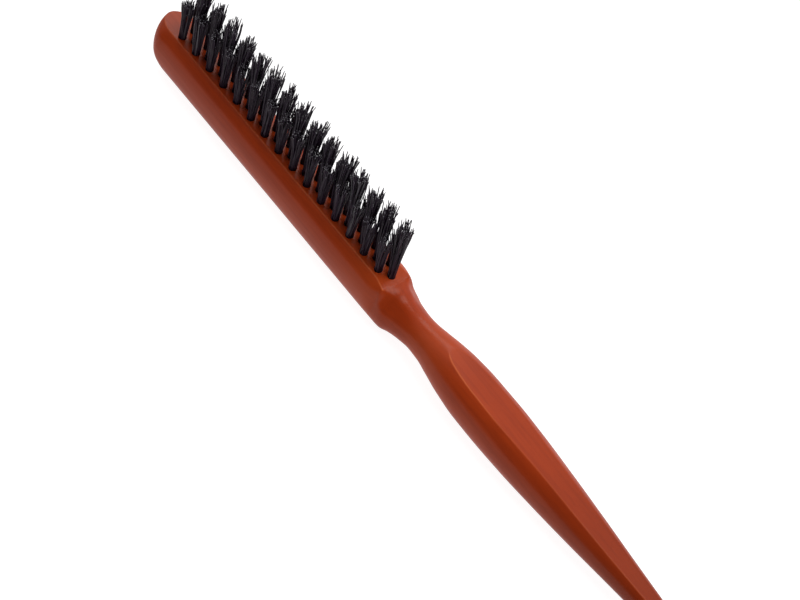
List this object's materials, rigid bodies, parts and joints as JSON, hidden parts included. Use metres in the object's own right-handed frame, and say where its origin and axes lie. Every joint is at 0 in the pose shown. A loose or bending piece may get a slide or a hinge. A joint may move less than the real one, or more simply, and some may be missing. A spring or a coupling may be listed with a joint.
{
  "type": "back-combing brush",
  "caption": "Slim reddish-brown wooden back-combing brush with rows of stiff black bristle tufts, a pinched neck and a rat-tail handle.",
  "frame": {"origin": "under the middle of the brush, level with the flat strip along its back", "axes": "+X from the head's tip to the end of the tail, +Y across the bed, +Z the way the bristles point"},
  "size_m": [0.2299, 0.0144, 0.0338],
  "materials": {
    "lacquered_wood": "gloss",
    "bristle": "satin"
  },
  "bodies": {
    "root": {"brush_body": "lacquered_wood", "tuft_near_01": "bristle", "tuft_near_02": "bristle", "tuft_near_03": "bristle", "tuft_near_04": "bristle", "tuft_near_05": "bristle", "tuft_near_06": "bristle", "tuft_near_07": "bristle", "tuft_near_08": "bristle", "tuft_near_09": "bristle", "tuft_near_10": "bristle", "tuft_near_11": "bristle", "tuft_near_12": "bristle", "tuft_near_13": "bristle", "tuft_near_14": "bristle", "tuft_near_15": "bristle", "tuft_middle_01": "bristle", "tuft_middle_02": "bristle", "tuft_middle_03": "bristle", "tuft_middle_04": "bristle", "tuft_middle_05": "bristle", "tuft_middle_06": "bristle", "tuft_middle_07": "bristle", "tuft_middle_08": "bristle", "tuft_middle_09": "bristle", "tuft_middle_10": "bristle", "tuft_middle_11": "bristle", "tuft_middle_12": "bristle", "tuft_middle_13": "bristle", "tuft_middle_14": "bristle", "tuft_middle_15": "bristle", "tuft_far_01": "bristle", "tuft_far_02": "bristle", "tuft_far_03": "bristle", "tuft_far_04": "bristle", "tuft_far_05": "bristle", "tuft_far_06": "bristle", "tuft_far_07": "bristle", "tuft_far_08": "bristle", "tuft_far_09": "bristle", "tuft_far_10": "bristle", "tuft_far_11": "bristle", "tuft_far_12": "bristle", "tuft_far_13": "bristle", "tuft_far_14": "bristle", "tuft_far_15": "bristle"}
  },
  "joints": []
}
